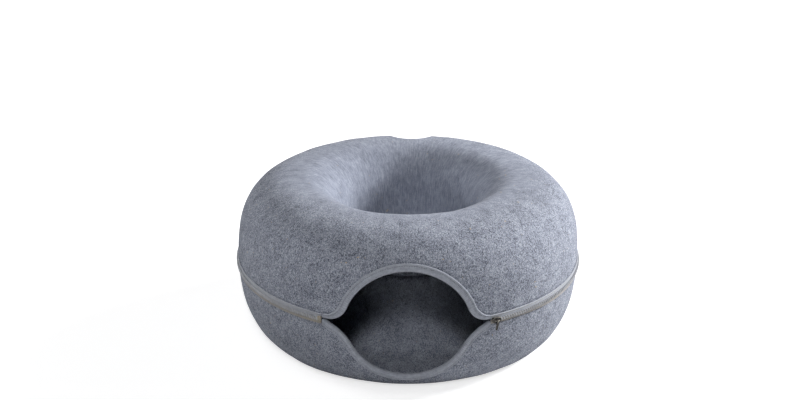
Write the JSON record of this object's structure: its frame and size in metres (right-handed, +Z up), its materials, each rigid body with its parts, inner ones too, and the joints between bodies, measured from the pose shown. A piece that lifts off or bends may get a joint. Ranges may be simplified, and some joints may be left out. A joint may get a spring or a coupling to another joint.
{
  "type": "felt cat cave",
  "caption": "Ring-shaped felt cat tunnel with a lens-shaped bound mouth, a well in the middle, a round peep hole in its crown and an outer zip.",
  "frame": {"origin": "on the floor, under the middle of the outline", "axes": "+Z up; +X to the right of the mouth as seen from in front, along the greatest width; the mouth faces -Y and the peep hole lies towards +Y"},
  "size_m": [0.5074, 0.4933, 0.227],
  "materials": {
    "felt": "heathered blue-grey pressed felt, matt and fibrous",
    "binding": "smooth woven binding tape, matt",
    "tape": "woven zip tape, matt",
    "coil": "satin nylon",
    "metal": "dark plated, worn bright at its edges"
  },
  "bodies": {
    "root": {"upper_shell": "felt", "lower_shell": "felt", "upper_binding": "binding", "lower_binding": "binding", "upper_zip_tape": "tape", "lower_zip_tape": "tape", "zip_chain": "coil", "zip_end_stop": "coil", "zip_slider": "metal", "zip_pull": "metal"}
  },
  "joints": []
}
